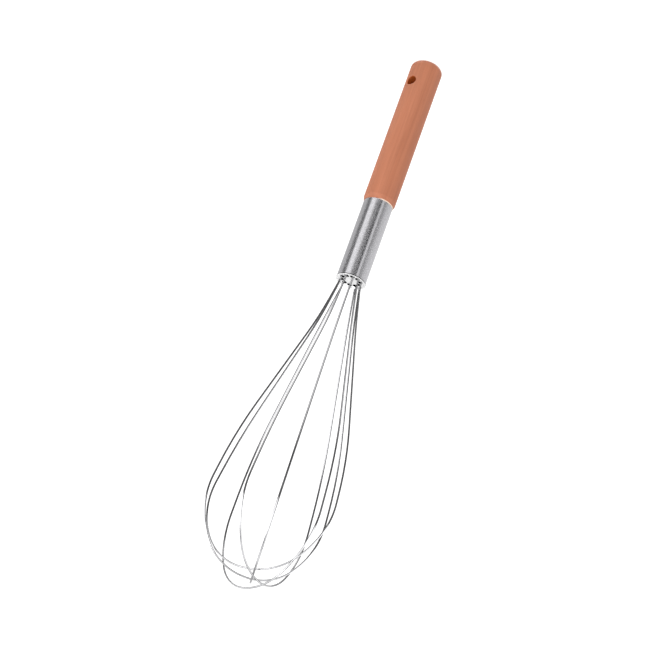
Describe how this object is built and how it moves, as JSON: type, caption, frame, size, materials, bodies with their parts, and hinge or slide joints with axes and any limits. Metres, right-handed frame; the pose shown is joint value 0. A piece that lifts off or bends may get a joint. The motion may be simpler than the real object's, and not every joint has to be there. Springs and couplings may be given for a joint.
{
  "type": "balloon whisk",
  "caption": "Balloon whisk with a turned wooden handle, a steel ferrule closed by a perforated cap, and nested wire loops that cross at the tip.",
  "frame": {"origin": "middle of the handle's hanging end, where the upright whisk touches the surface", "axes": "+Z along the handle's axis from the hanging end to the balloon's tip; -Y towards the viewer; +X to the viewer's right"},
  "size_m": [0.0659, 0.0674, 0.3249],
  "materials": {
    "beech": "satin oiled beech, fine straight grain",
    "ferrule_steel": "stainless steel, fine lengthwise brushing",
    "cap_steel": "bright pressed stainless steel",
    "wire_steel": "polished drawn stainless wire",
    "seat_nylon": "dark moulded nylon",
    "resin": "cast resin"
  },
  "bodies": {
    "root": {"handle": "beech", "ferrule": "ferrule_steel", "end_cap": "cap_steel", "wire_loop_1": "wire_steel", "wire_loop_2": "wire_steel", "wire_loop_3": "wire_steel", "wire_loop_4": "wire_steel", "wire_loop_5": "wire_steel", "wire_seat": "seat_nylon", "potting": "resin"}
  },
  "joints": []
}
